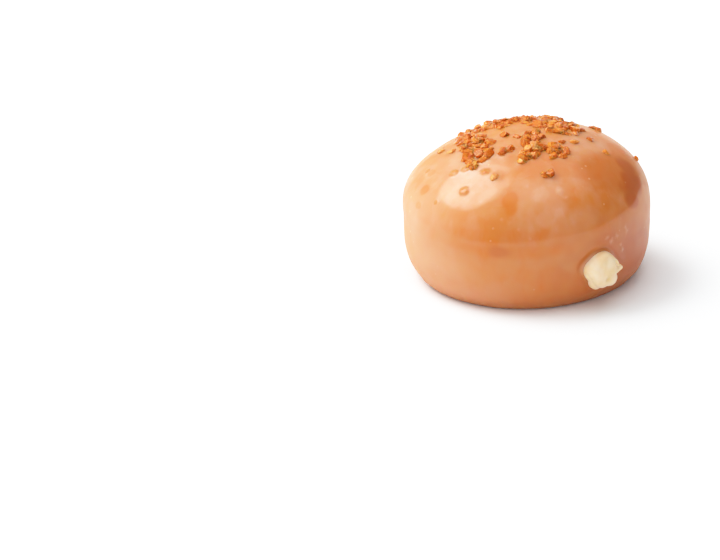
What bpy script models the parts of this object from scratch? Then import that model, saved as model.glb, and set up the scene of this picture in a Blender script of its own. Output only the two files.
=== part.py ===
"""A whole doughnut hole: a squat ball of fried dough under caramel glaze, with raw sugar crystals
strewn over its top and cream showing at the hole in its side where it was filled.

Metres, +Z up. The origin is the middle of the flat base that the doughnut hole rests on. The filling
hole faces the front right, between -Y and +X.

Run it with: blender --background --python part.py
"""

import math
import random

import bmesh
import bpy
from mathutils import Matrix, Quaternion, Vector, noise

MM = 0.001

# The dough ball, glaze included
BODY_RADIUS = 24.25 * MM
BODY_HEIGHT = 28.2 * MM
WIDEST_HEIGHT = 12.0 * MM  # where the wall stands upright
DOME_ROUNDNESS = 2.16  # exponent of the superellipse above the widest height
FOOT_ROUNDNESS = 3.4  # exponent below it
FOOT_DEPTH = 15.4 * MM  # how far the lower half would reach if the base didn't cut it flat
DOME_LEAN = 0.08  # rise of the dome for each metre towards +X
DOME_SHIFT = 0.3 * MM  # how far the dome's top stands towards +X
SHOULDER = 0.012  # share by which the shoulder bulges and the slope above it flattens
OVAL = -0.02  # the plan is wider along Y than along X by twice this
TRIANGULAR = 0.01
LEFT_SWELL = 0.45 * MM  # the shoulder's swelling towards -X
LEFT_SWELL_POLAR = math.radians(27)
LEFT_SWELL_WIDTH = 0.42  # radians
LUMP_HEIGHT = 0.22 * MM
LUMP_SIZE = 11.0 * MM
BODY_SEGMENTS = 60
BODY_RINGS = 40
SHARP_ANGLE = math.radians(30)

# The cream that stands in the filling hole, measured along the wall, up it and out of it
CREAM_AZIMUTH = math.radians(306.5)
CREAM_HEIGHT = 7.75 * MM
CREAM_HALF_WIDTH = 3.6 * MM
CREAM_HALF_HEIGHT = 3.7 * MM
CREAM_REACH_OUT = 2.3 * MM  # from its widest outline to its foremost point
CREAM_REACH_IN = 3.2 * MM
CREAM_OUTSET = 0.6 * MM  # how far its widest outline stands out of the wall
CREAM_SIDESTEP = -0.3 * MM  # along the wall
CREAM_FULLNESS = 2.5  # exponent of its section: 2 is an ellipse, more is fuller
CREAM_DETAIL = 4  # subdivisions of its ball
POCKET_CLEARANCE = 0.3 * MM

# Swellings and hollows of the cream's outline: the angle from along the wall towards up it in
# degrees, the amount in mm, and the half-width in degrees
CREAM_OUTLINE = (
    (-2, 0.95, 10),  # the lip that was pulled out with the nozzle
    (-16, -0.55, 13),  # the notch under the lip
    (-50, 0.35, 20),  # the full lower corner
    (-83, -0.35, 13),  # the dip between that corner and the sagging lobe
    (-118, 0.35, 22),  # the sagging lobe
    (-150, -0.25, 11),
    (166, 0.55, 24),  # the bulge that rests against the wall
    (50, -0.15, 20),
)

# Raw sugar crystals
SUGAR_SEED = 11
CRYSTAL_SIZE = 1.7 * MM
CRYSTAL_SIZE_SPREAD = 0.20  # share by which crystals differ in size
CRYSTAL_SUNK = 0.10  # share of a crystal's size by which its middle lies under the glaze
CRYSTAL_SPACING = 0.80  # least distance between two crystals, as a share of their size
CRYSTAL_TRIES = 24
PILED_LIFT = 0.10  # how far a crystal on others is lifted, as a share of its size
CRYSTAL_FACES = 6  # round its sides
CRYSTAL_END_RADII = (0.54, 0.42)  # shares of its size
CRYSTAL_LENGTH = 0.92  # share of its size
CRYSTAL_BREADTH = (0.80, 1.0)  # range of its second side, as a share of the first
CRYSTAL_FLATTENING = (0.74, 0.92)  # range of what its height off the dough is multiplied by

# Drifts of sugar, seen from above: middle along X and Y, half-widths, and how many crystals
SUGAR_DRIFTS = (
    (-9.2, -4.8, 2.7, 5.4, 38),
    (-11.2, 5.0, 1.8, 4.4, 15),
    (-7.8, 8.4, 2.6, 3.2, 16),
    (-4.8, 6.4, 1.2, 3.6, 7),
    (-1.7, 8.0, 1.6, 2.4, 5),
    (2.0, 6.2, 2.4, 3.4, 19),
    (4.6, 9.2, 2.2, 1.7, 8),
    (7.1, 1.6, 3.8, 3.2, 28),
    (0.5, -3.2, 2.4, 2.0, 8),
    (1.4, -8.2, 2.1, 2.4, 15),
    (-0.8, -10.7, 0.9, 1.4, 4),
    (-3.6, -7.5, 1.0, 0.8, 3),
    (5.8, -9.0, 2.0, 1.9, 11),
    (-2.5, 14.5, 6.0, 2.4, 14),
    (3.6, 15.2, 2.8, 1.8, 6),
)

# Crystals that fell apart from the drifts, seen from above, and each one's size as a share of the rest's
STRAY_CRYSTALS = (
    (-3.8, -1.4, 1.0),
    (7.0, -5.2, 0.8),
    (9.2, -4.4, 1.0),
    (12.3, -1.2, 0.9),
    (13.0, 9.4, 1.2),
    (14.0, 8.6, 0.9),
    (15.3, -4.4, 0.8),
    (21.3, 3.6, 0.7),
    (3.4, -15.2, 0.9),
    (4.6, -15.0, 0.9),
    (-13.6, -9.6, 1.2),
    (-11.4, -9.8, 1.2),
    (-7.8, -12.6, 1.1),
    (-5.8, -14.7, 1.2),
    (-11.6, -15.7, 1.3),
    (-16.1, 1.6, 1.0),
    (-14.2, -0.9, 1.0),
    (-18.7, -3.7, 0.7),
    (-17.0, -14.2, 0.6),
    (-12.4, 15.4, 1.0),
    (4.8, 19.2, 0.9),
    (12.4, 16.8, 0.9),
)


def clear_scene():
    for thing in list(bpy.data.objects):
        bpy.data.objects.remove(thing)


def new_collection(name, hidden=False):
    collection = bpy.data.collections.new(name)
    bpy.context.scene.collection.children.link(collection)
    collection.hide_render = hidden
    return collection


def material(name, colour, roughness):
    made = bpy.data.materials.new(name)
    made.use_nodes = True
    shader = made.node_tree.nodes["Principled BSDF"]
    shader.inputs["Base Color"].default_value = (*colour, 1.0)
    shader.inputs["Roughness"].default_value = roughness
    shader.inputs["Metallic"].default_value = 0.0
    return made


def object_from(name, shape, collection, finish=None):
    """An object that holds a bmesh, which is freed."""
    mesh = bpy.data.meshes.new(name)
    shape.to_mesh(mesh)
    shape.free()
    if finish:
        mesh.materials.append(finish)
    made = bpy.data.objects.new(name, mesh)
    collection.objects.link(made)
    return made


def bell(distance, width):
    return math.exp(-((distance / width) ** 2))


def turn_between(angle, other):
    """The smaller turn from one angle to another, in radians."""
    return abs(math.remainder(angle - other, 2 * math.pi))


def body_point(azimuth, polar):
    """The dough's surface in a direction seen from its middle at the widest height.

    The lower half runs on below the base, which cuts it flat.
    """
    above = polar > 0
    power = DOME_ROUNDNESS if above else FOOT_ROUNDNESS
    depth = BODY_HEIGHT - WIDEST_HEIGHT if above else FOOT_DEPTH
    radius = BODY_RADIUS * (1 + OVAL * math.cos(2 * azimuth) + TRIANGULAR * math.cos(3 * azimuth))
    across = abs(math.cos(polar) / radius) ** power
    upright = abs(math.sin(polar) / depth) ** power
    reach = (across + upright) ** (-1 / power)
    if above:
        reach *= 1 + SHOULDER * math.sin(6 * polar)
    flat = math.cos(polar)
    from_swell = math.hypot(turn_between(azimuth, math.pi) * flat, polar - LEFT_SWELL_POLAR)
    reach += LEFT_SWELL * bell(from_swell, LEFT_SWELL_WIDTH)
    outward = Vector((flat * math.cos(azimuth), flat * math.sin(azimuth), math.sin(polar)))
    point = outward * (reach + LUMP_HEIGHT * noise.noise(outward * (BODY_RADIUS / LUMP_SIZE)))
    if above:
        share = point.z / (BODY_HEIGHT - WIDEST_HEIGHT)
        point.z += DOME_LEAN * point.x * share
        point.x += DOME_SHIFT * share**2
    point.z += WIDEST_HEIGHT
    return point


def body_normal(azimuth, polar):
    step = math.radians(0.6)
    along = body_point(azimuth + step, polar) - body_point(azimuth - step, polar)
    up = body_point(azimuth, polar + step) - body_point(azimuth, polar - step)
    return along.cross(up).normalized()


def polar_from_above(azimuth, distance):
    """The polar angle at which the dome lies this far from the middle, seen from above."""
    low, high = 0.0, math.radians(89)
    halvings = 24
    for _ in range(halvings):
        middle = (low + high) / 2
        point = body_point(azimuth, middle)
        if math.hypot(point.x, point.y) > distance:
            low = middle
        else:
            high = middle
    return (low + high) / 2


def make_body(collection, finish):
    """A ball whose points are moved onto the dough's surface, cut flat where it rests."""
    shape = bmesh.new()
    bmesh.ops.create_uvsphere(shape, u_segments=BODY_SEGMENTS, v_segments=BODY_RINGS, radius=1.0)
    for point in shape.verts:
        x, y, z = point.co
        point.co = body_point(math.atan2(y, x), math.asin(max(-1.0, min(1.0, z))))
    everything = shape.verts[:] + shape.edges[:] + shape.faces[:]
    bmesh.ops.bisect_plane(
        shape, geom=everything, plane_co=(0, 0, 0), plane_no=(0, 0, -1), clear_outer=True
    )
    bmesh.ops.holes_fill(shape, edges=[edge for edge in shape.edges if edge.is_boundary])
    bmesh.ops.recalc_face_normals(shape, faces=shape.faces)
    return object_from("glazed_dough", shape, collection, finish)


def sugar_places():
    """Where each crystal lies, as (point on the surface, normal, size, lift), strewn by a seeded rule."""
    dice = random.Random(SUGAR_SEED)
    places = []

    def lay(x, y, share, must_fit):
        azimuth = math.atan2(y, x)
        polar = polar_from_above(azimuth, math.hypot(x, y))
        point = body_point(azimuth, polar)
        size = CRYSTAL_SIZE * share
        crowded = any(
            (place - point).length < CRYSTAL_SPACING * (size + other_size) / 2
            for place, _, other_size, _ in places
        )
        if crowded and must_fit:
            return False
        lift = PILED_LIFT * size if crowded else 0.0
        places.append((point, body_normal(azimuth, polar), size, lift))
        return True

    for x, y, half_x, half_y, count in SUGAR_DRIFTS:
        for _ in range(count):
            share = 1 + dice.uniform(-1, 1) * CRYSTAL_SIZE_SPREAD
            for attempt in range(CRYSTAL_TRIES):
                turn = dice.uniform(0, 2 * math.pi)
                reach = math.sqrt(dice.random())
                spot_x = (x + half_x * reach * math.cos(turn)) * MM
                spot_y = (y + half_y * reach * math.sin(turn)) * MM
                if lay(spot_x, spot_y, share, must_fit=attempt < CRYSTAL_TRIES - 1):
                    break
    for x, y, share in STRAY_CRYSTALS:
        lay(x * MM, y * MM, share, must_fit=False)
    return places


def crystal_turns(count):
    """How each crystal is tumbled, its breadth and its flattening, drawn apart from the places."""
    dice = random.Random(SUGAR_SEED + 1)
    turns = []
    for _ in range(count):
        tumble = Quaternion([dice.gauss(0, 1) for _ in range(4)]).normalized().to_matrix().to_4x4()
        turns.append((tumble, dice.uniform(*CRYSTAL_BREADTH), dice.uniform(*CRYSTAL_FLATTENING)))
    return turns


def crystal_matrix(place, turn):
    """Carries the unit block to where and how a crystal lies."""
    point, normal, size, lift = place
    tumble, breadth, flattening = turn
    upright = normal.to_track_quat("Z", "Y").to_matrix().to_4x4()
    flatten = Matrix.Diagonal((size, size, flattening * size, 1.0))
    centre = point + normal * (lift - CRYSTAL_SUNK * size)
    return Matrix.Translation(centre) @ upright @ flatten @ tumble @ Matrix.Diagonal((1.0, breadth, 1.0, 1.0))


def make_crystals(collection):
    """Each crystal is a six-sided block, narrower at one end."""
    places = sugar_places()
    turns = crystal_turns(len(places))
    for number, (place, turn) in enumerate(zip(places, turns)):
        shape = bmesh.new()
        bmesh.ops.create_cone(
            shape,
            cap_ends=True,
            segments=CRYSTAL_FACES,
            radius1=CRYSTAL_END_RADII[0],
            radius2=CRYSTAL_END_RADII[1],
            depth=CRYSTAL_LENGTH,
        )
        bmesh.ops.transform(shape, matrix=crystal_matrix(place, turn), verts=shape.verts)
        object_from(f"crystal_{number}", shape, collection)


def keep_largest_shell(mesh):
    """Leaves the outer skin alone: sealed hollows between crystals are filled, loose scraps dropped."""
    shape = bmesh.new()
    shape.from_mesh(mesh)
    unseen = set(shape.faces)
    shells = []
    while unseen:
        front = [unseen.pop()]
        shell = set(front)
        while front:
            for edge in front.pop().edges:
                for face in edge.link_faces:
                    if face in unseen:
                        unseen.remove(face)
                        shell.add(face)
                        front.append(face)
        shells.append(shell)
    outer = max(shells, key=len)
    spare = [face for face in shape.faces if face not in outer]
    bmesh.ops.delete(shape, geom=spare, context="FACES")
    shape.to_mesh(mesh)
    shape.free()


def fuse(body, pieces):
    """Joins a collection's objects to the body with one Boolean union, then removes them."""
    union = body.modifiers.new("Fuse sugar", "BOOLEAN")
    union.operation = "UNION"
    union.operand_type = "COLLECTION"
    union.collection = pieces
    union.solver = "EXACT"
    graph = bpy.context.evaluated_depsgraph_get()
    fused = bpy.data.meshes.new_from_object(body.evaluated_get(graph))
    body.modifiers.remove(union)
    body.data = fused
    keep_largest_shell(fused)
    for piece in list(pieces.objects):
        bpy.data.objects.remove(piece)
    bpy.data.collections.remove(pieces)


def cream_frame():
    """The cream's own axes as a matrix: along the wall, up it and out of it, at the filling hole."""
    polar = -math.atan2(WIDEST_HEIGHT - CREAM_HEIGHT, BODY_RADIUS)
    out = body_normal(CREAM_AZIMUTH, polar)
    along = Vector((0, 0, 1)).cross(out).normalized()
    up = out.cross(along)
    centre = body_point(CREAM_AZIMUTH, polar) + out * CREAM_OUTSET + along * CREAM_SIDESTEP
    return Matrix.Translation(centre) @ Matrix((along, up, out)).transposed().to_4x4()


def cream_point(direction):
    """The cream's surface in its own axes, in a direction from its middle."""
    angle = math.atan2(direction.y, direction.x)
    flat = math.hypot(direction.x, direction.y)
    outline = 1 / math.hypot(math.cos(angle) / CREAM_HALF_WIDTH, math.sin(angle) / CREAM_HALF_HEIGHT)
    for centre, amount, width in CREAM_OUTLINE:
        outline += amount * MM * bell(turn_between(angle, math.radians(centre)), math.radians(width))
    depth = CREAM_REACH_OUT if direction.z > 0 else CREAM_REACH_IN
    squash = abs(flat / outline) ** CREAM_FULLNESS + abs(direction.z / depth) ** CREAM_FULLNESS
    return direction * squash ** (-1 / CREAM_FULLNESS)


def make_cream_shape(clearance=0.0):
    """The blob of cream, or its shape swollen by a clearance as the cutter of its pocket."""
    shape = bmesh.new()
    bmesh.ops.create_icosphere(shape, subdivisions=CREAM_DETAIL, radius=1.0)
    for point in shape.verts:
        point.co = cream_point(point.co.normalized())
    shape.normal_update()
    swollen = [point.co + point.normal * clearance for point in shape.verts]
    for point, place in zip(shape.verts, swollen):
        point.co = place
    bmesh.ops.transform(shape, matrix=cream_frame(), verts=shape.verts)
    return shape


def make_cream(collection, finish):
    cream = object_from("cream_filling", make_cream_shape(), collection, finish)
    cream.data.shade_smooth()
    return cream


def cut_pocket(body, cutters):
    """The filling hole: the dough is cut back from the cream by a small gap."""
    cutter = object_from("filling_hole_cutter", make_cream_shape(POCKET_CLEARANCE), cutters)
    cutter.hide_render = True
    cutter.display_type = "WIRE"
    cut = body.modifiers.new("Filling hole", "BOOLEAN")
    cut.operation = "DIFFERENCE"
    cut.object = cutter
    cut.solver = "EXACT"


def main():
    clear_scene()
    parts = new_collection("Doughnut hole")
    cutters = new_collection("Cutters", hidden=True)
    sugar = new_collection("Sugar")
    glaze = material("caramel glaze", (0.62, 0.29, 0.12), 0.25)
    custard = material("cream", (0.86, 0.72, 0.45), 0.4)
    body = make_body(parts, glaze)
    make_crystals(sugar)
    fuse(body, sugar)
    body.data.shade_smooth()
    body.data.set_sharp_from_angle(angle=SHARP_ANGLE)
    cut_pocket(body, cutters)
    make_cream(parts, custard)


main()
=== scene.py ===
"""The looks of a whole doughnut hole: translucent caramel glaze over fried dough, raw sugar crystals,
and cream at the hole in its side. Metres, +Z up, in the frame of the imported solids.
"""

import math
import random

import bmesh
import bpy
from mathutils import Matrix, Quaternion, Vector, kdtree, noise


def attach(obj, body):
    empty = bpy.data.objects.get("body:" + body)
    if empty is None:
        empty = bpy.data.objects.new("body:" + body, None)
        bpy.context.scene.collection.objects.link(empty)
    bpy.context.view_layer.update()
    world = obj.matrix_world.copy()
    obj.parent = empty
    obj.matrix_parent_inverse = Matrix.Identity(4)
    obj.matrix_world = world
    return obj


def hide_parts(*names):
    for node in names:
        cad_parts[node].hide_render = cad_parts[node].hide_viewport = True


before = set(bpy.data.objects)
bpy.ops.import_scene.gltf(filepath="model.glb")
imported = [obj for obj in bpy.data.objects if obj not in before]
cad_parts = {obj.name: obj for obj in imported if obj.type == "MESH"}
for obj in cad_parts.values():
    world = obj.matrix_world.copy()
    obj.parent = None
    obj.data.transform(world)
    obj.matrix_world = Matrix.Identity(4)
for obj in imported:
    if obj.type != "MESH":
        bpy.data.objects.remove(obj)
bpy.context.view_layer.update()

MM = 0.001

# The photograph's camera, in its 720x560 frame
FRAME_PX = (720, 560)
VIEW_ELEVATION = math.radians(22)
VIEW_DISTANCE = 0.8
BODY_WIDTH = 48.0 * MM
BODY_WIDTH_PX = 247
ORIGIN_PX = (525.3, 267.9)  # where the middle of the base is seen
SENSOR_WIDTH = 36.0

# The dough ball, as the solids have it
BODY_RADIUS = 24.25 * MM
BODY_HEIGHT = 28.2 * MM
WIDEST_HEIGHT = 12.0 * MM
DOME_ROUNDNESS = 2.16
FOOT_ROUNDNESS = 3.4
FOOT_DEPTH = 15.4 * MM
DOME_LEAN = 0.08
DOME_SHIFT = 0.3 * MM
SHOULDER = 0.012
OVAL = -0.02
TRIANGULAR = 0.01
LEFT_SWELL = 0.45 * MM
LEFT_SWELL_POLAR = math.radians(27)
LEFT_SWELL_WIDTH = 0.42  # radians
LUMP_HEIGHT = 0.22 * MM
LUMP_SIZE = 11.0 * MM

# The cream in the filling hole, as the solids have it
CREAM_AZIMUTH = math.radians(306.5)
CREAM_HEIGHT = 7.75 * MM
CREAM_HALF_WIDTH = 3.6 * MM
CREAM_HALF_HEIGHT = 3.7 * MM
CREAM_REACH_OUT = 2.3 * MM
CREAM_REACH_IN = 3.2 * MM
CREAM_OUTSET = 0.6 * MM
CREAM_SIDESTEP = -0.3 * MM
CREAM_FULLNESS = 2.5
CREAM_OUTLINE = (  # bearing in its axes, swelling in mm, half width in degrees
    (-2, 0.95, 10),
    (-16, -0.55, 13),
    (-50, 0.35, 20),
    (-83, -0.35, 13),
    (-118, 0.35, 22),
    (-150, -0.25, 11),
    (166, 0.55, 24),
    (50, -0.15, 20),
)

# The cream's front, which only the scene has. Bearings in its own axes and their half widths in degrees
CREAM_DETAIL = 7  # subdivisions of its ball
CREAM_FRONT_FROM = 0.3  # how far the ball's direction turns out before the front is full
CREAM_LOBE_SECTORS = ((-122, 27, 1.0), (-165, 16, 0.7))  # bearing, half width, strength
CREAM_LOBE_SHARE = 0.17  # how much of its outline the sagging lobe takes from the crown before it
CREAM_LOBE_HEIGHT = 0.85 * MM
CREAM_LOBE_SQUARENESS = 5
CREAM_SEAM_WIDTH = 0.35 * MM  # between crown and lobe
CREAM_LIP = (22, 32)  # bearing, half width
CREAM_VALLEY = (0.77, 0.10)  # share of the outline, width
CREAM_CURL = (0.94, 0.05)
CREAM_FOLD = (-1.2 * MM, 0.25, 0.40 * MM, 0.7)  # x, its slant along y, width, share of the outline
CREAM_DIMPLE = (-0.1 * MM, -1.2 * MM, 0.65 * MM)  # x, y, reach
CREAM_BULGE = (1.0 * MM, -2.1 * MM, 0.9 * MM)
CREAM_SHADE = (0.9 * MM, 0.4 * MM, 1.5 * MM)
# Each form's second number is painted shade: how much darker and yellower the cream is drawn there
CREAM_RELIEF = {  # height of each form, and how much yellower it is
    "valley": (-0.55 * MM, 0.35),
    "curl": (0.22 * MM, 0.0),
    "fold": (-0.12 * MM, 0.25),
    "dimple": (-0.34 * MM, 0.55),
    "bulge": (0.35 * MM, 0.0),
    "shade": (0.0, 0.28),
}
CREAM_SEAM_SHADE = 0.5
CREAM_RIPPLE = (0.07 * MM, 1.5 * MM)  # height, size
CREAM_BEAK = 0.06 * MM  # how much sharper than the solid's the tip is drawn out
CREAM_BEAK_BEARING = (-3, 4)
CREAM_BEAK_FROM = 0.75  # share of the outline
CREAM_BEAK_LEVEL = (0.2 * MM, 0.9 * MM)
CREAM_TRIMS = ((38, 24, 0.06), (12, 7, 0.06), (-18, 7, 0.06))  # bearing, half width, share taken off

# Raw sugar crystals, laid by the same seeded rule as in the solids. Depths, lifts and lengths are
# shares of a crystal's size
SUGAR_SEED = 11
CRYSTAL_SIZE = 1.7 * MM
CRYSTAL_SIZE_SPREAD = 0.20
CRYSTAL_SUNK = 0.10
CRYSTAL_SPACING = 0.80
CRYSTAL_TRIES = 24
PILED_LIFT = 0.10
CRYSTAL_FACES = 6
CRYSTAL_END_RADII = (0.54, 0.42)
CRYSTAL_LENGTH = 0.92
CRYSTAL_BREADTH = (0.80, 1.0)
CRYSTAL_FLATTENING = (0.74, 0.92)
SUGAR_DRIFTS = (  # x, y and half widths seen from above in mm, number of crystals
    (-9.2, -4.8, 2.7, 5.4, 38),
    (-11.2, 5.0, 1.8, 4.4, 15),
    (-7.8, 8.4, 2.6, 3.2, 16),
    (-4.8, 6.4, 1.2, 3.6, 7),
    (-1.7, 8.0, 1.6, 2.4, 5),
    (2.0, 6.2, 2.4, 3.4, 19),
    (4.6, 9.2, 2.2, 1.7, 8),
    (7.1, 1.6, 3.8, 3.2, 28),
    (0.5, -3.2, 2.4, 2.0, 8),
    (1.4, -8.2, 2.1, 2.4, 15),
    (-0.8, -10.7, 0.9, 1.4, 4),
    (-3.6, -7.5, 1.0, 0.8, 3),
    (5.8, -9.0, 2.0, 1.9, 11),
    (-2.5, 14.5, 6.0, 2.4, 14),
    (3.6, 15.2, 2.8, 1.8, 6),
)
STRAY_CRYSTALS = (  # x, y in mm, share of the usual size
    (-3.8, -1.4, 1.0),
    (7.0, -5.2, 0.8),
    (9.2, -4.4, 1.0),
    (12.3, -1.2, 0.9),
    (13.0, 9.4, 1.2),
    (14.0, 8.6, 0.9),
    (15.3, -4.4, 0.8),
    (21.3, 3.6, 0.7),
    (3.4, -15.2, 0.9),
    (4.6, -15.0, 0.9),
    (-13.6, -9.6, 1.2),
    (-11.4, -9.8, 1.2),
    (-7.8, -12.6, 1.1),
    (-5.8, -14.7, 1.2),
    (-11.6, -15.7, 1.3),
    (-16.1, 1.6, 1.0),
    (-14.2, -0.9, 1.0),
    (-18.7, -3.7, 0.7),
    (-17.0, -14.2, 0.6),
    (-12.4, 15.4, 1.0),
    (4.8, 19.2, 0.9),
    (12.4, 16.8, 0.9),
)

# Crystals under a drop of glaze and ones sunk into it, named by their places seen from above in mm
DROWNED = ((-11.6, -15.7), (-18.7, -3.7), (-17.0, -14.2), (-13.6, -9.6), (-11.4, -9.8), (-7.8, -12.6))
SUNK = ((-5.8, -14.7), (-16.1, 1.6), (-14.2, -0.9))
SAME_PLACE = 0.2 * MM
SUNK_LIFT = -0.08  # of a sunk crystal, as a share of its size

# The glaze's own surface
CRUST_DETAIL = 7  # subdivisions of its ball
REFINED_REACH = 1.1 * MM  # how far from a crystal the mesh is finer
RIPPLES = ((0.085 * MM, 6.5 * MM), (0.030 * MM, 2.6 * MM))  # height and size
BASE_ROUNDING = 0.45 * MM
FOOT_RIPPLE = 0.15 * MM  # height of the glaze's ripples just above the table
FOOT_RIPPLE_SIZE = 1.4 * MM
FOOT_RIPPLE_LEVEL = 1.4 * MM
CRUMB_HEIGHT = 0.10 * MM
RAGGEDNESS = 0.7  # of the crumbs' outlines
RAGGEDNESS_SIZE = 0.45 * MM

# Glaze that climbs each crystal and tints its foot. Heights and reaches are shares of its size
SUGAR_SEARCH = 3.0 * MM  # no crystal further off is looked at
MENISCUS_HEIGHT = 0.08
MENISCUS_REACH = 0.66
MENISCUS_TINT = 0.5
MENISCUS_TINT_REACH = 0.9

# Drops of glaze that lie over crystals, in the same terms
DROP_HEIGHT = 0.10
DROP_REACH = 0.46
DROP_RUFFLE = 0.11 * MM
DROP_RUFFLE_SIZE = 0.5 * MM
DROP_MIDDLE_TINT = 0.72  # where its rim has 1
DROP_MIDDLE_EDGE = (0.16, 0.34)
DROP_EDGE = (0.42, 0.56)
DROP_MOTTLING = (0.88, 0.4)  # mean of the tint and its swing
DROP_MOTTLING_SIZE = 0.45 * MM

# The glaze round the cream, by how far out it is as a share of the cream's outline
CREAM_SURROUND = 8.0 * MM  # how far from the cream's middle the mesh is finer
CREAM_SURROUND_DEPTH = 4.0 * MM  # how far in or out of its wall it reaches
POCKET_DEPTH = 1.6 * MM
POCKET_WALL = (0.62, 0.88)
UPPER_LEFT = (140, 48)  # bearing in the cream's axes and half width, in degrees
COLLAR = (0.98, 0.10)  # share of the outline, width
COLLAR_HEIGHT = 0.36 * MM
CREVICE = (1.15, 0.05)
CREVICE_DEPTH = 0.07 * MM
SWELLING = (1.32, 0.20)
SWELLING_HEIGHT = 0.08 * MM
HALO = (1.20, 0.16)
HALO_BROWNING = 0.5
# Painted highlight on the collar's upper left, in the crumbs' colour
COLLAR_HIGHLIGHT = (1.0, 0.07)

# Patches of darker amber in the glaze, some of them painted reflection: the spot high on the front and
# the band across it stand where the glaze mirrors dark parts of the room. Azimuth and height above the
# widest line in degrees, half width and half height in mm, strength, and how soft the edge is
AMBER_AND_DARK_REFLECTION_PATCHES = (
    (-98.5, 26, 1.6, 1.8, 0.95, 0.4),
    (-97.0, 22, 1.2, 1.8, 0.85, 0.45),
    (-97.0, 2.5, 13.0, 1.3, 0.55, 0.5),
    (-99, 18, 1.6, 1.4, 0.4, 0.6),
    (-103, 9.5, 10.5, 1.6, 0.6, 0.4),
    (-107, 13, 4.6, 1.9, 0.45, 0.4),
    (-81, 44, 3.6, 2.6, 0.7, 0.7),
    (-74, 41, 1.6, 1.0, 0.4, 0.3),
    (-122, 35, 2.2, 1.6, 0.3, 0.5),
    (-155, 22, 1.7, 1.5, 0.75, 0.3),
    (-152, 14, 1.3, 0.9, 0.6, 0.3),
    (-163, 30, 1.6, 1.1, 0.6, 0.3),
    (-143, 9, 2.4, 0.8, 0.35, 0.4),
    (-32, 26, 4.4, 2.8, 0.35, 0.3),
    (-40, 33, 4.4, 2.4, 0.32, 0.35),
    (-46, 24, 3.0, 2.6, 0.28, 0.6),
    (-29, 36, 5.2, 3.4, 0.2, 0.35),
    (-52, 3, 2.2, 1.6, 0.35, 0.7),
    (40, 20, 3.0, 2.4, 0.6, 0.4),
    (95, 14, 5.0, 1.8, 0.5, 0.6),
    (150, 30, 2.6, 2.2, 0.55, 0.55),
    (10, 40, 3.0, 2.0, 0.4, 0.5),
)
# Patches of milky glaze and of painted light, in the same terms: towards the softbox on the left a
# painted sheen, at the top right a painted reflection of the bright backdrop, and in the middle of the
# front painted light
MILKY_AND_PAINTED_LIGHT_PATCHES = (
    (-150, 45, 7.0, 6.5, 0.8, 0.9),
    (-125, 62, 6.0, 6.0, 0.35, 0.9),
    (-150, 12, 7.0, 7.0, 0.5, 0.9),
    (-71, 29, 0.9, 1.2, 0.7, 0.6),
    (-89, 33, 0.5, 0.5, 0.5, 0.6),
    (-76, 21, 2.6, 2.0, 0.4, 0.35),
    (-82, 28, 5.0, 3.6, 0.38, 0.6),
    (-135, -8, 7.0, 5.0, 0.5, 0.9),
    (-118, -22, 9.0, 4.0, 0.35, 0.9),
    (-165, 35, 6.0, 5.0, 0.5, 0.8),
    (-62, 14, 3.4, 2.4, 0.25, 0.4),
    (-80, 17, 2.2, 1.6, 0.35, 0.3),
    (-55, 33, 3.0, 1.8, 0.12, 0.4),
    (-32, 30, 9.0, 6.0, 0.14, 0.6),
    (-20, 50, 9.0, 5.0, 0.5, 0.9),
    (10, 38, 7.0, 5.0, 0.3, 0.9),
    (-28, 58, 5.0, 4.0, 0.6, 0.8),
    (-10, 44, 4.0, 3.0, 0.5, 0.6),
    (60, 60, 6.0, 5.0, 0.5, 0.9),
    (100, 55, 4.0, 4.0, 0.4, 0.5),
    (170, 10, 6.0, 7.0, 0.4, 0.8),
)
# Patches of darker brown, the largest on the right side away from the softbox, in the same terms
BROWNED_PATCHES = (
    (-14, 26, 3.2, 2.8, 0.74, 0.42),
    (-21, 20, 4.2, 3.0, 0.76, 0.38),
    (-28, 14.5, 2.4, 2.0, 0.76, 0.34),
    (-14, 22, 9.0, 6.0, 0.3, 0.9),
    (-32, -10, 13.0, 8.0, 0.75, 0.9),
    (-34, 32, 7.0, 4.6, 0.28, 0.4),
    (-101, 2.5, 2.0, 1.1, 0.3, 0.5),
    (70, 26, 4.6, 3.0, 0.6, 0.5),
    (128, 10, 3.4, 2.2, 0.5, 0.6),
)
PATCHES = {"amber_and_dark_reflection": AMBER_AND_DARK_REFLECTION_PATCHES, "milky_and_painted_light": MILKY_AND_PAINTED_LIGHT_PATCHES, "browned": BROWNED_PATCHES}
PATCH_WAVER = 0.30  # how far the patches' outlines wander, as a share of their size
PATCH_WAVER_SIZE = 2.6 * MM

# Crumbs under the glaze: azimuth and height above the widest line in degrees, radius in mm
CRUMBS = (
    (-48.0, 1.6, 0.46),
    (-50.5, 3.8, 0.34),
    (-44.5, 3.0, 0.34),
    (-38.0, 5.0, 0.34),
    (-37.0, 2.8, 0.40),
    (-41.5, -2.0, 0.34),
    (-40.0, -4.9, 0.36),
    (-97.5, 15.5, 0.22),
    (-93.0, 12.5, 0.22),
    (-88.0, 9.0, 0.20),
    (-101.0, 17.0, 0.24),
    (-71.0, 29.0, 0.50),
    (-68.5, 25.0, 0.30),
    (28.0, 8.0, 0.40),
    (112.0, 12.0, 0.40),
    (158.0, 20.0, 0.45),
)

# Fine rims in the glaze: bearing of the middle and reach to each side in degrees, height in mm there
# and its rise in mm for each degree
GLAZE_EDGES = (
    (-94, 30, 15.1, 0.028),
    (100, 40, 14.0, -0.02),
)
GLAZE_EDGE_HEIGHT = 0.035 * MM
GLAZE_EDGE_WIDTH = 0.30 * MM
GLAZE_EDGE_WANDER = (0.25 * MM, 5 * MM)  # how far up and down, and over what length
GLAZE_EDGE_FADES_FROM = 0.6  # share of its reach

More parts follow.
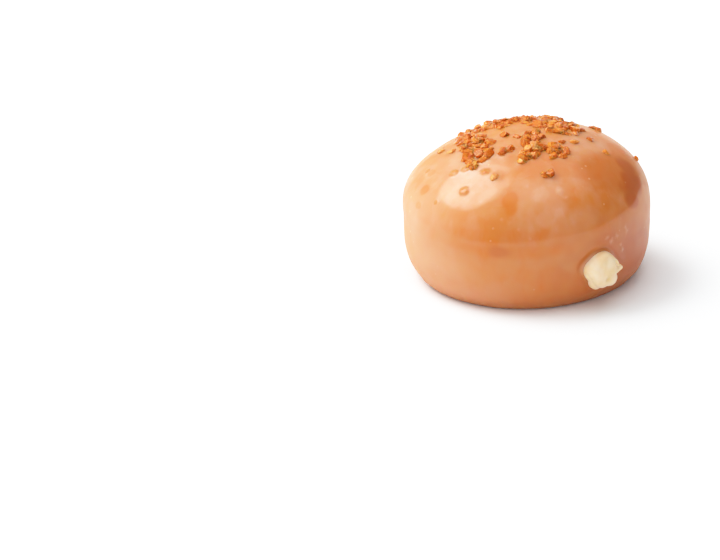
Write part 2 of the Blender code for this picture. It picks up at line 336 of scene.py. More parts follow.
# How the crystals are worn; lengths are shares of a crystal's size
CRYSTAL_CHIPPED_CORNERS = 9
CHIP_REACH = (0.78, 0.92)  # where a corner is cut off, as a share of how far it reaches
CRYSTAL_WELD = 0.02
CRYSTAL_BEVEL = 0.035
CRYSTAL_SWELL = 1.14  # makes up for what the chips take off
CRYSTAL_SHARP_FROM = math.radians(24)
# Painted shade: each crystal's edges are drawn darker than the pale heart of its wide faces
HEART_FROM_AREA = 0.02  # smallest face that is paler in its middle
HEART_INSET = 0.08
HEART_SWELL = 0.07

# Looser grains among the crystals
GRAINS_PER_CRYSTAL = 0.45
GRAIN_SIZES = (0.35 * MM, 0.95 * MM)
GRAIN_SMALLNESS = 1.6  # the higher, the more of them are small
GRAIN_LIFT = 0.3
GRAIN_CHIPPED_CORNERS = 3
GRAIN_BREADTH = (0.6, 1.0)
GRAIN_FLATTENING = (0.7, 1.0)
DRIFT_SPREAD = 1.12  # how much further than the crystals the grains reach

# Colours of the glaze
CARAMEL = (0.55, 0.200, 0.048)
AMBER = (0.55, 0.150, 0.008)
# Pale glaze, which also serves for the painted light
MILKY_AND_PAINTED_LIGHT = (0.62, 0.31, 0.180)
BROWNED = (0.37, 0.066, 0.007)
# The colour of the painted shade towards the table and on top of the dome
SHADE_BROWN = (0.40, 0.090, 0.015)
FLECK = (0.72, 0.44, 0.24)
SUGAR_UNDER_GLAZE = ((0.50, 0.145, 0.018), (0.47, 0.19, 0.036))  # by faint and by full tint
# Crumbs, and the painted highlight on the collar by the cream
CRUMB_AND_HIGHLIGHT = (0.74, 0.42, 0.26)

# Colours of the sugar: those that the crystals are dealt, then what mottles them
SUGAR_TONES = (
    (0.0, (0.42, 0.080, 0.005)),
    (0.4, (0.58, 0.133, 0.009)),
    (0.8, (0.68, 0.190, 0.018)),
    (1.0, (0.80, 0.30, 0.045)),
)
CLOUDY_SUGAR = (0.84, 0.37, 0.085)
DARK_SUGAR = (0.30, 0.048, 0.003)
SUNK_SUGAR = (0.74, 0.36, 0.11)

# Colours of the cream and the table
CREAM_TONES = ((0.84, 0.65, 0.45), (0.81, 0.57, 0.33))
# The painted shade in the cream's hollows
CREAM_HOLLOW_SHADE = (0.66, 0.42, 0.15)
TABLE_TONES = ((0.93, 0.965, 0.985), (0.935, 0.97, 0.99))
TABLE_HALF = 3.0  # metres
TABLE_CLOUDS = 0.4  # metres

# Clouds of these colours: size, the level of a noise from 0 to 1 where they start and the one where
# they are full, and how strong they are at both
AMBER_CLOUDS = (9 * MM, 0.42, 0.68, 0.0, 0.5)
AMBER_STAINS = (3.6 * MM, 0.5, 0.72, 0.0, 0.32)
MILKY_PANES = (4.0 * MM, 0.49, 0.58, 0.0, 0.14)
MILKY_CLOUDS = (2.6 * MM, 0.46, 0.74, 0.0, 0.24)
FLECK_FIELDS = (5 * MM, 0.52, 0.62)
SUGAR_CLOUDS = (0.42 * MM, 0.50, 0.68, 0.0, 0.7)
SUGAR_FLAWS = (0.36 * MM, 0.48, 0.36, 0.0, 0.45)
CREAM_CLOUDS = (2.4 * MM, 0.35, 0.7)

# What changes with the height: where it starts, where it is full, and how strong it is at both
AMBER_TOP = (19 * MM, 26 * MM, 0.0, 0.5)
MILKY_DOME = (12 * MM, 18 * MM, 0.15, 1.0)
# Painted shade: the glaze is drawn browner towards the table and towards the top of the dome
SHADE_AT_FOOT = (9 * MM, 1 * MM, 0.0, 0.38)
SHADE_AT_TOP = (21 * MM, 27 * MM, 0.0, 0.18)

# How milky, with the painted light it holds, or glossy the glaze stays where it is browned, amber, sugary
# or seen at a slant
MILKY_IF_BROWNED = (0.0, 0.5, 1.0, 0.0)
MILKY_IF_AMBER = (0.2, 1.0, 1.0, 0.15)
GLOSS_IF_SUGARY = (0.5, 0.8, 1.0, 0.3)
GLOSS_IF_GRAZING = (0.4, 0.9, 0.85, 0.15)

# Flecks, what shows under the glaze, and how strongly a crystal's edges, drawn darker as painted shade,
# and sinking change its colour
RUN_DOWN = 0.5  # how fast the stains change downwards, where across has 1
FLECK_SPACING = 2.4 * MM
FLECK_EDGE = (0.14, 0.05)  # distances from its middle, as shares of the spacing
FLECK_STRENGTH = 0.5
FLECK_HEIGHT = 0.5  # where the glaze's waves have 1
CRUMB_STRENGTH = 0.32
SUGARY_TINTS = (0.5, 1.0)  # at which the first and the second colour of sugar under glaze show
SUNK_STRENGTH = 0.65
EDGE_SHADE_STRENGTH = 0.4

# Relief too fine for the meshes: the size of its waves, then its strength and height
GLAZE_WAVES = 1.8 * MM
GLAZE_BUMP = (0.22, 0.08 * MM)
SUGAR_WAVES = 0.30 * MM
SUGAR_BUMP = (0.4, 0.05 * MM)
CREAM_WAVES = 0.8 * MM
CREAM_BUMP = (0.3, 0.05 * MM)

# The soft light, in metres
SOFTBOX_AZIMUTH = math.radians(155)
SOFTBOX_ELEVATION = math.radians(52.5)
SOFTBOX_DISTANCE = 1.2
SOFTBOX_SIZE = (1.30, 1.05)  # along and up
SOFTBOX_RADIANCE = 7.8  # at its middle
SOFTBOX_FADE = (0.5, 0.24)  # from its rim inwards, as shares of its size

# The studio round the object, which shows in the glaze. Its walls: bearing in degrees, brightness there
WALLS = (
    (-179, 1.6),
    (-165, 1.6),
    (-150, 1.55),
    (-134, 1.2),
    (-121, 0.5),
    (-111, 0.5),
    (-102, 1.1),
    (-64, 1.1),
    (-59, 1.3),
    (-40, 0.65),
    (-15, 0.3),
    (11, 0.2),
    (15, 0.2),
    (56, 0.2),
    (70, 0.7),
    (90, 0.9),
    (115, 0.8),
    (135, 1.2),
    (155, 1.6),
    (179, 1.6),
)
WALLS_END = (72, 52)  # degrees above the table where they are gone, and where they are whole
CEILING_FROM = (52, 77)
CEILING_RADIANCE = 1.12
SKYLIGHT = (math.radians(70), math.radians(78))  # bearing and height of its middle
SKYLIGHT_REACH = (36, 12)  # degrees from its middle at which it starts and is full
SKYLIGHT_RADIANCE = 1.35

# How the picture's bright end rolls off: scene brightness, then what shows
ROLL_OFF_WHITE = 1.5
ROLL_OFF = ((0.25, 0.25), (0.5, 0.5), (0.8, 0.745), (1.1, 0.905), (1.3, 0.97))


def smoothstep(low, high, value):
    share = max(0.0, min(1.0, (value - low) / (high - low)))
    return share * share * (3 - 2 * share)


def bell(distance, width):
    return math.exp(-((distance / width) ** 2))


def turn_between(angle, other):
    """The smaller turn from one angle to another, in radians."""
    return abs(math.remainder(angle - other, 2 * math.pi))


def near(angle, bearing, half_width):
    """1 where an angle in radians has this bearing in degrees, less to both sides of it."""
    return bell(turn_between(angle, math.radians(bearing)), math.radians(half_width))


def body_point(azimuth, polar):
    """The dough's surface in a direction seen from its middle at the widest height."""
    above = polar > 0
    power = DOME_ROUNDNESS if above else FOOT_ROUNDNESS
    depth = BODY_HEIGHT - WIDEST_HEIGHT if above else FOOT_DEPTH
    radius = BODY_RADIUS * (1 + OVAL * math.cos(2 * azimuth) + TRIANGULAR * math.cos(3 * azimuth))
    across = abs(math.cos(polar) / radius) ** power
    upright = abs(math.sin(polar) / depth) ** power
    reach = (across + upright) ** (-1 / power)
    if above:
        reach *= 1 + SHOULDER * math.sin(6 * polar)
    flat = math.cos(polar)
    from_swell = math.hypot(turn_between(azimuth, math.pi) * flat, polar - LEFT_SWELL_POLAR)
    reach += LEFT_SWELL * bell(from_swell, LEFT_SWELL_WIDTH)
    outward = Vector((flat * math.cos(azimuth), flat * math.sin(azimuth), math.sin(polar)))
    point = outward * (reach + LUMP_HEIGHT * noise.noise(outward * (BODY_RADIUS / LUMP_SIZE)))
    if above:
        share = point.z / (BODY_HEIGHT - WIDEST_HEIGHT)
        point.z += DOME_LEAN * point.x * share
        point.x += DOME_SHIFT * share**2
    point.z += WIDEST_HEIGHT
    return point


def body_normal(azimuth, polar):
    step = math.radians(0.6)
    along = body_point(azimuth + step, polar) - body_point(azimuth - step, polar)
    up = body_point(azimuth, polar + step) - body_point(azimuth, polar - step)
    return along.cross(up).normalized()


def polar_from_above(azimuth, distance):
    """The polar angle at which the dome lies this far from the middle, seen from above."""
    low, high = 0.0, math.radians(89)
    halvings = 24
    for _ in range(halvings):
        middle = (low + high) / 2
        point = body_point(azimuth, middle)
        if math.hypot(point.x, point.y) > distance:
            low = middle
        else:
            high = middle
    return (low + high) / 2


def sugar_places():
    """Where each crystal lies, as (point on the surface, normal, size, lift), strewn by a seeded rule."""
    dice = random.Random(SUGAR_SEED)
    places = []

    def lay(x, y, share, must_fit):
        azimuth = math.atan2(y, x)
        polar = polar_from_above(azimuth, math.hypot(x, y))
        point = body_point(azimuth, polar)
        size = CRYSTAL_SIZE * share
        crowded = any(
            (place - point).length < CRYSTAL_SPACING * (size + other_size) / 2
            for place, _, other_size, _ in places
        )
        if crowded and must_fit:
            return False
        lift = PILED_LIFT * size if crowded else 0.0
        places.append((point, body_normal(azimuth, polar), size, lift))
        return True

    for x, y, half_x, half_y, count in SUGAR_DRIFTS:
        for _ in range(count):
            share = 1 + dice.uniform(-1, 1) * CRYSTAL_SIZE_SPREAD
            for attempt in range(CRYSTAL_TRIES):
                turn = dice.uniform(0, 2 * math.pi)
                reach = math.sqrt(dice.random())
                spot_x = (x + half_x * reach * math.cos(turn)) * MM
                spot_y = (y + half_y * reach * math.sin(turn)) * MM
                if lay(spot_x, spot_y, share, must_fit=attempt < CRYSTAL_TRIES - 1):
                    break
    for x, y, share in STRAY_CRYSTALS:
        lay(x * MM, y * MM, share, must_fit=False)
    return places


def tumbled(dice):
    """A turn drawn evenly from all turns, as a matrix."""
    return Quaternion([dice.gauss(0, 1) for _ in range(4)]).normalized().to_matrix().to_4x4()


def crystal_turns(count):
    """How each crystal is tumbled, its breadth and its flattening, drawn apart from the places."""
    dice = random.Random(SUGAR_SEED + 1)
    turns = []
    for _ in range(count):
        tumble = tumbled(dice)
        turns.append((tumble, dice.uniform(*CRYSTAL_BREADTH), dice.uniform(*CRYSTAL_FLATTENING)))
    return turns


def crystal_matrix(place, turn):
    """Carries the unit block to where and how a crystal lies."""
    point, normal, size, lift = place
    tumble, breadth, flattening = turn
    upright = normal.to_track_quat("Z", "Y").to_matrix().to_4x4()
    flatten = Matrix.Diagonal((size, size, flattening * size, 1.0))
    centre = point + normal * (lift - CRYSTAL_SUNK * size)
    narrow = Matrix.Diagonal((1.0, breadth, 1.0, 1.0))
    return Matrix.Translation(centre) @ upright @ flatten @ tumble @ narrow


def is_one_of(spots, place):
    point = place[0]
    return any(math.hypot(point.x - x * MM, point.y - y * MM) < SAME_PLACE for x, y in spots)


def cream_frame():
    """The cream's own axes as a matrix: along the wall, up it and out of it, at the filling hole."""
    polar = -math.atan2(WIDEST_HEIGHT - CREAM_HEIGHT, BODY_RADIUS)
    out = body_normal(CREAM_AZIMUTH, polar)
    along = Vector((0, 0, 1)).cross(out).normalized()
    up = out.cross(along)
    centre = body_point(CREAM_AZIMUTH, polar) + out * CREAM_OUTSET + along * CREAM_SIDESTEP
    return Matrix.Translation(centre) @ Matrix((along, up, out)).transposed().to_4x4()


def cream_outline(angle):
    """How far the cream reaches from its middle at an angle from along the wall towards up it."""
    outline = 1 / math.hypot(math.cos(angle) / CREAM_HALF_WIDTH, math.sin(angle) / CREAM_HALF_HEIGHT)
    for bearing, amount, half_width in CREAM_OUTLINE:
        outline += amount * MM * near(angle, bearing, half_width)
    return outline


def cream_point(direction):
    """The cream's surface in its own axes, in a direction from its middle."""
    flat = math.hypot(direction.x, direction.y)
    outline = cream_outline(math.atan2(direction.y, direction.x))
    depth = CREAM_REACH_OUT if direction.z > 0 else CREAM_REACH_IN
    squash = abs(flat / outline) ** CREAM_FULLNESS + abs(direction.z / depth) ** CREAM_FULLNESS
    return direction * squash ** (-1 / CREAM_FULLNESS)


def add_piece(name, shape, finish, replaced, smooth_angle=None):
    """Adds an object of the doughnut hole that holds a bmesh, which is freed."""
    mesh = bpy.data.meshes.new(name)
    shape.to_mesh(mesh)
    shape.free()
    mesh.materials.append(finish)
    mesh.shade_smooth()
    if smooth_angle is not None:
        mesh.set_sharp_from_angle(angle=smooth_angle)
    made = bpy.data.objects.new(name, mesh)
    bpy.context.scene.collection.objects.link(made)
    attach(made, "root")
    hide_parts(replaced)


class Nodes:
    """A material's or world's node tree, with short calls that add a node and wire its inputs."""

    def __init__(self, tree):
        self.tree = tree

    def wire(self, socket, value):
        if isinstance(value, bpy.types.NodeSocket):
            self.tree.links.new(value, socket)
        else:
            socket.default_value = value

    def add(self, kind, inputs=None, **settings):
        node = self.tree.nodes.new(kind)
        for key, value in settings.items():
            setattr(node, key, value)
        for key, value in (inputs or {}).items():
            self.wire(node.inputs[key], value)
        return node

    def math(self, operation, first, second=0.0):
        return self.add("ShaderNodeMath", {0: first, 1: second}, operation=operation).outputs[0]

    def place(self):
        """The point on the piece in metres, the same at each view."""
        return self.add("ShaderNodeTexCoord").outputs["Object"]

    def noise(self, place, size, detail=2.0, roughness=0.5, distortion=0.0):
        """Soft cloudy noise from 0 to 1 whose features are about that size."""
        inputs = {
            "Vector": place,
            "Scale": 1 / size,
            "Detail": detail,
            "Roughness": roughness,
            "Distortion": distortion,
        }
        return self.add("ShaderNodeTexNoise", inputs).outputs["Fac"]

    def attribute(self, name):
        return self.add("ShaderNodeAttribute", attribute_name=name).outputs["Fac"]

    def remap(self, value, low, high, to_low=0.0, to_high=1.0):
        """Carries a value softly from one range to another, and holds it at the ends."""
        inputs = {"Value": value, "From Min": low, "From Max": high, "To Min": to_low, "To Max": to_high}
        made = self.add("ShaderNodeMapRange", inputs, interpolation_type="SMOOTHSTEP")
        return made.outputs["Result"]

    def clouds(self, place, size, low, high, to_low=0.0, to_high=1.0, **settings):
        """Noise of this size, carried from one range to another."""
        return self.remap(self.noise(place, size, **settings), low, high, to_low, to_high)

    def mix(self, share, first, second):
        made = self.add("ShaderNodeMix", data_type="RGBA")
        for socket, value in ((0, share), (6, first), (7, second)):
            self.wire(made.inputs[socket], value)
        return made.outputs[2]

    def bump(self, height, strength, distance):
        inputs = {"Height": height, "Strength": strength, "Distance": distance}
        return self.add("ShaderNodeBump", inputs).outputs["Normal"]


def opaque(tone):
    return (*tone, 1.0)


def new_material(name, settings):
    """A Principled material with these constants on its shader's sockets."""
    made = bpy.data.materials.new(name)
    made.use_nodes = True
    shader = made.node_tree.nodes["Principled BSDF"]
    for socket, value in settings.items():
        shader.inputs[socket].default_value = value
    return made, Nodes(made.node_tree), shader


def set_stops(ramp, stops):
    """Gives a colour ramp these stops alone, as (position, colour) from its start to its end."""
    elements = ramp.color_ramp.elements
    while len(elements) > 1:
        elements.remove(elements[0])
    elements[0].position, elements[0].color = stops[0]
    for position, tone in stops[1:]:
        elements.new(position).color = tone


def glaze_material():
    """Caramel glaze over fried dough: mottled amber and caramel under a milky, glossy coat. Its colour
    also holds painted light, shade and reflection.
    """
    made, nodes, shader = new_material(
        "caramel_glaze",
        {
            "Subsurface Weight": 0.75,
            "Subsurface Radius": (1.0, 0.35, 0.12),
            "Subsurface Scale": 2.4 * MM,
            "Roughness": 0.42,
            "IOR": 1.45,
            "Specular IOR Level": 0.08,
            "Coat Roughness": 0.05,
            "Coat IOR": 1.43,
        },
    )
    place = nodes.place()
    height = nodes.add("ShaderNodeSeparateXYZ", {0: place}).outputs["Z"]
    drawn_down = {0: place, 1: (1.0, 1.0, RUN_DOWN)}
    run_down = nodes.add("ShaderNodeVectorMath", drawn_down, operation="MULTIPLY").outputs[0]
    browned = nodes.attribute("browned")
    sugary = nodes.attribute("sugary")
    amber_and_dark_reflection_patch = nodes.attribute("amber_and_dark_reflection")

    amber_and_dark_reflection = nodes.clouds(place, *AMBER_CLOUDS, distortion=0.6)
    stains = nodes.clouds(run_down, *AMBER_STAINS, detail=3.0, distortion=0.5)
    amber_and_dark_reflection = nodes.math("ADD", amber_and_dark_reflection, stains)
    amber_and_dark_reflection = nodes.math("ADD", amber_and_dark_reflection, nodes.remap(height, *AMBER_TOP))
    # The patches add painted dark reflection as well as amber
    amber_and_dark_reflection = nodes.math("MINIMUM", nodes.math("ADD", amber_and_dark_reflection, amber_and_dark_reflection_patch), 1.0)
    tone = nodes.mix(amber_and_dark_reflection, opaque(CARAMEL), opaque(AMBER))

    panes = nodes.clouds(run_down, *MILKY_PANES, detail=1.0)
    milky_and_painted_light = nodes.clouds(run_down, *MILKY_CLOUDS, detail=3.0)
    milky_and_painted_light = nodes.math("MULTIPLY", nodes.math("ADD", milky_and_painted_light, panes), nodes.remap(height, *MILKY_DOME))
    # The patches add painted light as well as milky glaze
    milky_and_painted_light = nodes.math("MINIMUM", nodes.math("ADD", milky_and_painted_light, nodes.attribute("milky_and_painted_light")), 1.0)
    milky_and_painted_light = nodes.math("MULTIPLY", milky_and_painted_light, nodes.remap(browned, *MILKY_IF_BROWNED))
    milky_and_painted_light = nodes.math("MULTIPLY", milky_and_painted_light, nodes.remap(amber_and_dark_reflection_patch, *MILKY_IF_AMBER))
    tone = nodes.mix(milky_and_painted_light, tone, opaque(MILKY_AND_PAINTED_LIGHT))
    tone = nodes.mix(browned, tone, opaque(BROWNED))

    # Painted shade, darker towards the table and on top of the dome
    painted_shade = nodes.math("ADD", nodes.remap(height, *SHADE_AT_FOOT), nodes.remap(height, *SHADE_AT_TOP))
    tone = nodes.mix(painted_shade, tone, opaque(SHADE_BROWN))

    cells = nodes.add("ShaderNodeTexVoronoi", {"Vector": place, "Scale": 1 / FLECK_SPACING})
    fleck = nodes.remap(cells.outputs["Distance"], *FLECK_EDGE)
    fleck = nodes.math("MULTIPLY", fleck, nodes.clouds(place, *FLECK_FIELDS))
    tone = nodes.mix(nodes.math("MULTIPLY", fleck, FLECK_STRENGTH), tone, opaque(FLECK))

    sunken = nodes.mix(nodes.remap(sugary, *SUGARY_TINTS), *map(opaque, SUGAR_UNDER_GLAZE))
    tone = nodes.mix(sugary, tone, sunken)
    # Crumbs, and the painted highlight on the collar
    crumb_and_highlight = nodes.math("MULTIPLY", nodes.attribute("crumb_and_highlight"), CRUMB_STRENGTH)
    tone = nodes.mix(crumb_and_highlight, tone, opaque(CRUMB_AND_HIGHLIGHT))
    nodes.wire(shader.inputs["Base Color"], tone)

    grazing = nodes.add("ShaderNodeLayerWeight", {"Blend": 0.5}).outputs["Facing"]
    gloss = nodes.remap(grazing, *GLOSS_IF_GRAZING)
    gloss = nodes.math("MULTIPLY", gloss, nodes.remap(sugary, *GLOSS_IF_SUGARY))
    nodes.wire(shader.inputs["Coat Weight"], gloss)
    waves = nodes.noise(place, GLAZE_WAVES, detail=3.0)
    relief = nodes.math("ADD", waves, nodes.math("MULTIPLY", fleck, FLECK_HEIGHT))
    nodes.wire(shader.inputs["Normal"], nodes.bump(relief, *GLAZE_BUMP))
    return made


def sugar_material():
    """Amber raw sugar: cloudy crystals that let light through, each with its own depth of colour, with
    painted shade along their edges.
    """
    made, nodes, shader = new_material(
        "raw_sugar",
        {
            "Roughness": 0.13,
            "IOR": 1.50,
            "Specular IOR Level": 0.26,
            "Specular Tint": (1.0, 0.72, 0.45, 1.0),
            "Subsurface Weight": 0.9,
            "Subsurface Radius": (1.0, 0.6, 0.3),
            "Subsurface Scale": 0.55 * MM,
        },
    )
    place = nodes.place()
    share = nodes.add("ShaderNodeNewGeometry").outputs["Random Per Island"]
    ramp = nodes.add("ShaderNodeValToRGB", {"Fac": share})
    set_stops(ramp, [(at, opaque(tone)) for at, tone in SUGAR_TONES])
    cloud = nodes.clouds(place, *SUGAR_CLOUDS, detail=3.0, roughness=0.6)
    flaw = nodes.clouds(place, *SUGAR_FLAWS, distortion=1.0)
    sunk = nodes.math("MULTIPLY", nodes.attribute("pale"), SUNK_STRENGTH)
    # Painted shade along the crystals' edges
    edge = nodes.math("SUBTRACT", 1.0, nodes.attribute("heart"))
    tone = nodes.mix(cloud, ramp.outputs["Color"], opaque(CLOUDY_SUGAR))
    tone = nodes.mix(flaw, tone, opaque(DARK_SUGAR))
    tone = nodes.mix(sunk, tone, opaque(SUNK_SUGAR))
    tone = nodes.mix(nodes.math("MULTIPLY", edge, EDGE_SHADE_STRENGTH), tone, opaque(DARK_SUGAR))
    nodes.wire(shader.inputs["Base Color"], tone)
    nodes.wire(shader.inputs["Normal"], nodes.bump(nodes.noise(place, SUGAR_WAVES), *SUGAR_BUMP))
    return made


def cream_material():
    """Off-white filling cream, drawn darker and yellower as painted shade in its hollows, its seam and
    one spot.
    """
    made, nodes, shader = new_material(
        "filling_cream",
        {
            "Roughness": 0.34,
            "Specular IOR Level": 0.4,
            "Subsurface Weight": 0.7,
            "Subsurface Radius": (1.0, 0.7, 0.35),
            "Subsurface Scale": 0.8 * MM,
        },
    )
    place = nodes.place()
    tone = nodes.mix(nodes.clouds(place, *CREAM_CLOUDS), *map(opaque, CREAM_TONES))
    tone = nodes.mix(nodes.attribute("hollow_shade"), tone, opaque(CREAM_HOLLOW_SHADE))
    nodes.wire(shader.inputs["Base Color"], tone)
    nodes.wire(shader.inputs["Normal"], nodes.bump(nodes.noise(place, CREAM_WAVES), *CREAM_BUMP))
    return made


def direction_angles(direction):
    return math.atan2(direction.y, direction.x), math.asin(max(-1.0, min(1.0, direction.z)))


def patch_share(outward, patches):
    """How strongly patches of the glaze's colour show in a direction from the dough's middle."""
    azimuth, polar = direction_angles(outward)
    waver = PATCH_WAVER * noise.noise(outward * (BODY_RADIUS / PATCH_WAVER_SIZE))
    shares = []
    for centre, height, half_width, half_height, strength, softness in patches:
        along = math.remainder(azimuth - math.radians(centre), 2 * math.pi) * math.cos(polar)
        up = polar - math.radians(height)
        away = math.hypot(along * BODY_RADIUS / (half_width * MM), up * BODY_RADIUS / (half_height * MM))
        shares.append(strength * (1 - smoothstep(1 - softness, 1 + softness, away + waver)))
    return max(shares)


def glaze_edge(point):
    """How far the fine rim, where one run of the glaze ended, stands out at a point of the surface."""
    azimuth = math.degrees(math.atan2(point.y, point.x))
    rise = 0.0
    for bearing, reach, height, slope in GLAZE_EDGES:
        along = math.remainder(azimuth - bearing, 360)
        wander = GLAZE_EDGE_WANDER[0] * noise.noise(point / GLAZE_EDGE_WANDER[1])
        level = (height + slope * along) * MM + wander
        ends = 1 - smoothstep(GLAZE_EDGE_FADES_FROM * reach, reach, abs(along))
        rise += GLAZE_EDGE_HEIGHT * ends * bell(point.z - level, GLAZE_EDGE_WIDTH)
    return rise


def glaze_by_sugar(point, places, tree):
    """By and over the crystals near a point: how far the glaze stands out, and how sugary it looks."""
    drops = climb = tint = 0.0
    for _, number, distance in tree.find_range(point, SUGAR_SEARCH):
        size = places[number][2]
        away = distance / size
        if is_one_of(DROWNED, places[number]):
            ruffle = DROP_RUFFLE * noise.noise(point / DROP_RUFFLE_SIZE)
            drops += math.exp(-((away / DROP_REACH) ** 4)) * (DROP_HEIGHT * size + ruffle)
            ring = DROP_MIDDLE_TINT + (1 - DROP_MIDDLE_TINT) * smoothstep(*DROP_MIDDLE_EDGE, away)
            ring *= DROP_MOTTLING[0] + DROP_MOTTLING[1] * noise.noise(point / DROP_MOTTLING_SIZE)
            tint = max(tint, ring * (1 - smoothstep(*DROP_EDGE, away)))
        else:
            climb = max(climb, MENISCUS_HEIGHT * size * bell(away, MENISCUS_REACH))
            tint = max(tint, MENISCUS_TINT * bell(away, MENISCUS_TINT_REACH))
    return drops + climb, tint


def glaze_by_cream(local, vert, layers):
    """Round the cream: how far the glaze stands out at a point in its axes. It colours the vertex too,
    with a painted highlight on the collar's upper left.
    """
    angle = math.atan2(local.y, local.x)
    share = math.hypot(local.x, local.y) / cream_outline(angle)

    def ring(at, width):
        return bell(share - at, width)

    upper_left = near(angle, *UPPER_LEFT)
    collar = ring(*COLLAR)
    crevice = upper_left * ring(*CREVICE)
    halo = upper_left * ring(*HALO)
    amber_and_dark_reflection, milky_and_painted_light, browned, crumb_and_highlight = (layers[name] for name in ("amber_and_dark_reflection", "milky_and_painted_light", "browned", "crumb_and_highlight"))
    vert[amber_and_dark_reflection] = max(vert[amber_and_dark_reflection], halo)
    # Painted highlight: the collar's upper left is drawn milky and pale
    vert[milky_and_painted_light] = max(vert[milky_and_painted_light] * (1 - halo), upper_left * collar)
    vert[browned] = max(vert[browned] * (1 - halo), HALO_BROWNING * halo * (1 - collar))
    vert[crumb_and_highlight] = max(vert[crumb_and_highlight], upper_left * ring(*COLLAR_HIGHLIGHT))
    pocket = 1 - smoothstep(*POCKET_WALL, share)
    rise = COLLAR_HEIGHT * collar + SWELLING_HEIGHT * ring(*SWELLING)
    return rise - CREVICE_DEPTH * crevice - POCKET_DEPTH * pocket


def refine_crust(shape, tree, into_cream):
    """Splits the ball's faces finer where the crystals and the cream will be."""
    chosen = set()
    for vert in shape.verts:
        surface = body_point(*direction_angles(vert.co.normalized()))
        local = into_cream @ surface
        across = math.hypot(local.x, local.y)
        by_cream = across < CREAM_SURROUND and abs(local.z) < CREAM_SURROUND_DEPTH
        if by_cream or tree.find(surface)[2] < REFINED_REACH:
            chosen.add(vert)
    edges = [edge for edge in shape.edges if edge.verts[0] in chosen and edge.verts[1] in chosen]
    bmesh.ops.subdivide_edges(shape, edges=edges, cuts=1, use_grid_fill=True)
    bmesh.ops.triangulate(shape, faces=[face for face in shape.faces if len(face.verts) > 3])


def make_crust(finish, places):
    """The glazed dough's surface: a fine ball moved onto its form, then rippled, with glaze that
    climbs the crystals and runs over some, a pocket round the cream and a rounded foot."""
    shape = bmesh.new()
    bmesh.ops.create_icosphere(shape, subdivisions=CRUST_DETAIL, radius=1.0)
    into_cream = cream_frame().inverted()
    tree = kdtree.KDTree(len(places))
    for number, (point, _, _, _) in enumerate(places):
        tree.insert(point, number)
    tree.balance()
    refine_crust(shape, tree, into_cream)

    layers = {name: shape.verts.layers.float.new(name) for name in (*PATCHES, "sugary", "crumb_and_highlight")}
    for vert in shape.verts:
        outward = vert.co.normalized()
        for name, patches in PATCHES.items():
            vert[layers[name]] = patch_share(outward, patches)
        vert.co = body_point(*direction_angles(outward))
    shape.normal_update()

    crumbs = [(body_point(math.radians(a), math.radians(p)), radius * MM) for a, p, radius in CRUMBS]
    moved = []
    for vert in shape.verts:
        point = vert.co
        rise = sum(height * noise.noise(point / size) for height, size in RIPPLES)
        by_sugar, vert[layers["sugary"]] = glaze_by_sugar(point, places, tree)
        rise += by_sugar
        ragged = 1 + RAGGEDNESS * noise.noise(point / RAGGEDNESS_SIZE)
        crumb_and_highlight = max(bell(ragged * (spot - point).length, radius) for spot, radius in crumbs)
        vert[layers["crumb_and_highlight"]] = crumb_and_highlight
        rise += CRUMB_HEIGHT * crumb_and_highlight + glaze_edge(point)
        foot = bell(point.z - FOOT_RIPPLE_LEVEL, FOOT_RIPPLE_LEVEL)
        rise += FOOT_RIPPLE * foot * noise.noise(point / FOOT_RIPPLE_SIZE)
        local = into_cream @ point
        if abs(local.z) < CREAM_SURROUND_DEPTH:
            rise += glaze_by_cream(local, vert, layers)
        moved.append(point + vert.normal * rise)
    for vert, point in zip(shape.verts, moved):
        if point.z < BASE_ROUNDING:
            point.z = max(0.0, point.z + BASE_ROUNDING) ** 2 / (4 * BASE_ROUNDING)
        vert.co = point
    add_piece("glazed_crust", shape, finish, "glazed_dough")


def crystal_mesh(dice, chips):
    """One crystal of unit size as its own bmesh: a six-sided block with chipped corners and worn
    edges, whose wide faces swell a little towards a heart that is drawn paler, with painted shade on its
    edges."""
    shape = bmesh.new()
    bmesh.ops.create_cone(
        shape,
        cap_ends=True,
        segments=CRYSTAL_FACES,
        radius1=CRYSTAL_END_RADII[0],
        radius2=CRYSTAL_END_RADII[1],
        depth=CRYSTAL_LENGTH,
    )
    for _ in range(chips):
        corner = Vector([dice.gauss(0, 1) for _ in range(3)]).normalized()
        reach = max(vert.co.dot(corner) for vert in shape.verts)
        cut = bmesh.ops.bisect_plane(
            shape,
            geom=shape.verts[:] + shape.edges[:] + shape.faces[:],
            plane_co=corner * reach * dice.uniform(*CHIP_REACH),
            plane_no=corner,
            clear_outer=True,
        )
        rim = [edge for edge in cut["geom_cut"] if isinstance(edge, bmesh.types.BMEdge)]
        bmesh.ops.edgenet_fill(shape, edges=rim)
    bmesh.ops.remove_doubles(shape, verts=shape.verts, dist=CRYSTAL_WELD)
    bmesh.ops.recalc_face_normals(shape, faces=shape.faces)
    bmesh.ops.bevel(
        shape,
        geom=shape.edges[:],
        offset=CRYSTAL_BEVEL,
        segments=2,
        profile=0.6,
        affect="EDGES",
        clamp_overlap=True,
    )
    heart = shape.verts.layers.float.new("heart")
    shape.verts.layers.float.new("pale")
    wide = [face for face in shape.faces if face.calc_area() > HEART_FROM_AREA]
    bmesh.ops.inset_individual(shape, faces=wide, thickness=HEART_INSET, depth=0.0)
    for face in wide:
        for vert in face.verts:
            vert[heart] = 1.0
    bmesh.ops.poke(shape, faces=wide, offset=HEART_SWELL)
    return shape


def join_crystals(name, finish, crystals):
    """Adds one piece of many crystals, each given as its bmesh, which is freed."""
    joined = bmesh.new()
    holder = bpy.data.meshes.new("one_crystal")
    for crystal in crystals:
        crystal.to_mesh(holder)
        joined.from_mesh(holder)
        crystal.free()
    bpy.data.meshes.remove(holder)
    add_piece(name, joined, finish, "glazed_dough", CRYSTAL_SHARP_FROM)


